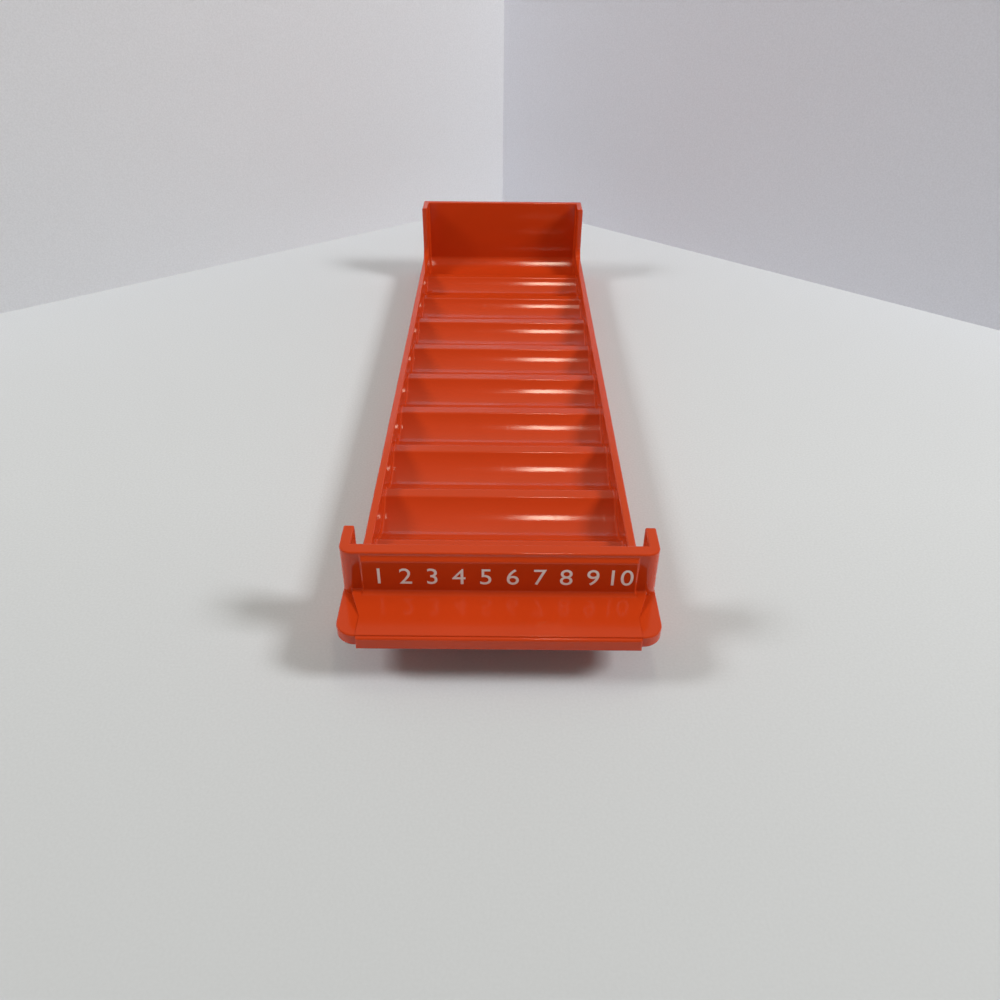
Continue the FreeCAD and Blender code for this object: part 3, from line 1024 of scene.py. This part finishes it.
def plain_surface(name, colour, one_sided=False, painted_falloff=False):
    finish, tree, shader, place = new_finish(name)
    cloth = noise(tree, place, CLOTH_SIZE, 2.0)
    tone = spread(tree, cloth, 0.3, 0.7, 0.0, 1.0)
    darker = tuple(channel * CLOTH_SHADE for channel in colour[:3]) + (1.0,)
    shade = blend_colours(tree, tone, darker, colour)
    # Painted shade: the table's colour darkens towards the camera end.
    if painted_falloff:
        along = add_node(tree, "ShaderNodeSeparateXYZ")
        tree.links.new(place, along.inputs[0])
        painted_shade_near = spread(tree, along.outputs["Y"], -0.30, -0.06, 1.0, 0.0)
        darker = tuple(channel * NEAR_PAINTED_SHADE for channel in colour[:3]) + (1.0,)
        shade = blend_colours(tree, painted_shade_near, shade, darker)
    tree.links.new(shade, shader.inputs["Base Color"])
    shader.inputs["Roughness"].default_value = MATT
    shader.inputs["Specular IOR Level"].default_value = DULL
    if one_sided:
        clear = add_node(tree, "ShaderNodeBsdfTransparent")
        pick = add_node(tree, "ShaderNodeMixShader")
        seen_from_behind = add_node(tree, "ShaderNodeNewGeometry").outputs["Backfacing"]
        tree.links.new(seen_from_behind, pick.inputs[0])
        tree.links.new(shader.outputs[0], pick.inputs[1])
        tree.links.new(clear.outputs[0], pick.inputs[2])
        output = next(n for n in tree.nodes if n.type == "OUTPUT_MATERIAL")
        tree.links.new(pick.outputs[0], output.inputs["Surface"])
    return finish


def flat_sheet(name, corners, finish):
    bm = bmesh.new()
    bm.faces.new([bm.verts.new(corner) for corner in corners])
    sheet = block_from(bm, name)
    sheet.data.materials.append(finish)
    return sheet


FLOOR_REACH = 4.0
CORNER = Vector((0.0, 0.2705, 0.0))
BOARD_LENGTH = 0.36
BOARD_HEIGHT = 0.18
BOARD_TURNS = {-1: -143.3, 1: -38.8}
flat_sheet("table", [(-FLOOR_REACH, -FLOOR_REACH, 0), (FLOOR_REACH, -FLOOR_REACH, 0),
                     (FLOOR_REACH, FLOOR_REACH, 0), (-FLOOR_REACH, FLOOR_REACH, 0)],
           plain_surface("pale_table", TABLE, painted_falloff=True))
board_finishes = {-1: plain_surface("pale_board_left", BOARD_LEFT, one_sided=True),
                  1: plain_surface("pale_board_right_shaded", BOARD_RIGHT_SHADED, one_sided=True)}
for side, turn in BOARD_TURNS.items():
    angle = math.radians(turn)
    away = Vector((math.cos(angle), math.sin(angle), 0)) * BOARD_LENGTH
    low = [CORNER, CORNER + away]
    if side > 0:
        low.reverse()
    lift = Vector((0, 0, BOARD_HEIGHT))
    board = flat_sheet("board_right" if side > 0 else "board_left",
                       [low[1], low[0], low[0] + lift, low[1] + lift], board_finishes[side])
    board.visible_shadow = False

# %% Light
OVERHEAD = (0.060, 0.11, 0.80)
UNDER_OVERHEAD = (0.060, 0.11, 0.0)
OVERHEAD_WIDTH, OVERHEAD_LENGTH = 0.05, 0.16
OVERHEAD_POWER = 0.5
WARM = (1.0, 0.84, 0.66)
SIDE_SIZE, PANEL_SIZE = 0.28, 0.80
SOFT_LAMPS = (("soft_left", (-0.85, -0.14, 0.76), SIDE_SIZE, 4.9),
              ("soft_right", (0.90, -0.24, 0.76), SIDE_SIZE, 9.1),
              ("panel_left", (-0.80, -0.30, 0.30), PANEL_SIZE, 0.9),
              ("panel_right", (0.80, -0.30, 0.30), PANEL_SIZE, 0.4),
              ("low_front", (0.00, -1.50, 0.70), PANEL_SIZE, 2.2))
AIR_COLOUR = (1.0, 0.96, 0.76, 1.0)
AIR_TURNS = 0.6
AIR_FRONT, AIR_BACK = 0.04, 0.36
AIR_FOR_CAMERA = 0.72


def add_lamp(name, place, target, size, power, shape="SQUARE"):
    data = bpy.data.lights.new(name, "AREA")
    data.shape = shape
    data.size = size
    data.energy = power
    lamp = bpy.data.objects.new(name, data)
    bpy.context.scene.collection.objects.link(lamp)
    lamp.location = place
    lamp.rotation_euler = (Vector(target) - Vector(place)).to_track_quat("-Z", "Y").to_euler()
    return lamp


overhead = add_lamp("overhead", OVERHEAD, UNDER_OVERHEAD, OVERHEAD_WIDTH, OVERHEAD_POWER,
                    "RECTANGLE")
overhead.data.size_y = OVERHEAD_LENGTH
overhead.data.color = WARM
for name, place, size, power in SOFT_LAMPS:
    add_lamp(name, place, (0.0, 0.0, 0.0), size, power).visible_glossy = False

world = bpy.data.worlds.new("studio_air")
world.use_nodes = True
air = world.node_tree
way_out = add_node(air, "ShaderNodeSeparateXYZ")
air.links.new(add_node(air, "ShaderNodeTexCoord").outputs["Generated"], way_out.inputs[0])
seen = add_node(air, "ShaderNodeLightPath").outputs["Is Camera Ray"]
lit = spread(air, way_out.outputs["Y"], -AIR_TURNS, AIR_TURNS, AIR_FRONT, AIR_BACK)
strength = combine(air, "MAXIMUM", lit, combine(air, "MULTIPLY", seen, AIR_FOR_CAMERA))
air.links.new(strength, air.nodes["Background"].inputs["Strength"])
air.nodes["Background"].inputs["Color"].default_value = AIR_COLOUR
bpy.context.scene.world = world
bpy.context.scene.view_settings.view_transform = "Standard"

# %% [markdown]
# ## Camera
#
# The camera stands a little above the tray's front end and looks down its
# length, with the slight tilt of a hand-held shot.

# %% Camera
LENS_PER_FRAME = 0.860
SENSOR = 36.0
NEAREST = 0.01
LOOK_DOWN = 36.05
TILT = 0.49
CAMERA_PLACE = (0.0, -0.30405, 0.17535)
view = bpy.data.cameras.new("camera")
view.sensor_width = SENSOR
view.lens = SENSOR * LENS_PER_FRAME
view.clip_start = NEAREST
camera = bpy.data.objects.new("camera", view)
bpy.context.scene.collection.objects.link(camera)
look_down = Matrix.Rotation(math.radians(90 - LOOK_DOWN), 4, "X")
tilt = Matrix.Rotation(math.radians(TILT), 4, "Z")
camera.matrix_world = Matrix.Translation(CAMERA_PLACE) @ look_down @ tilt
bpy.context.scene.camera = camera
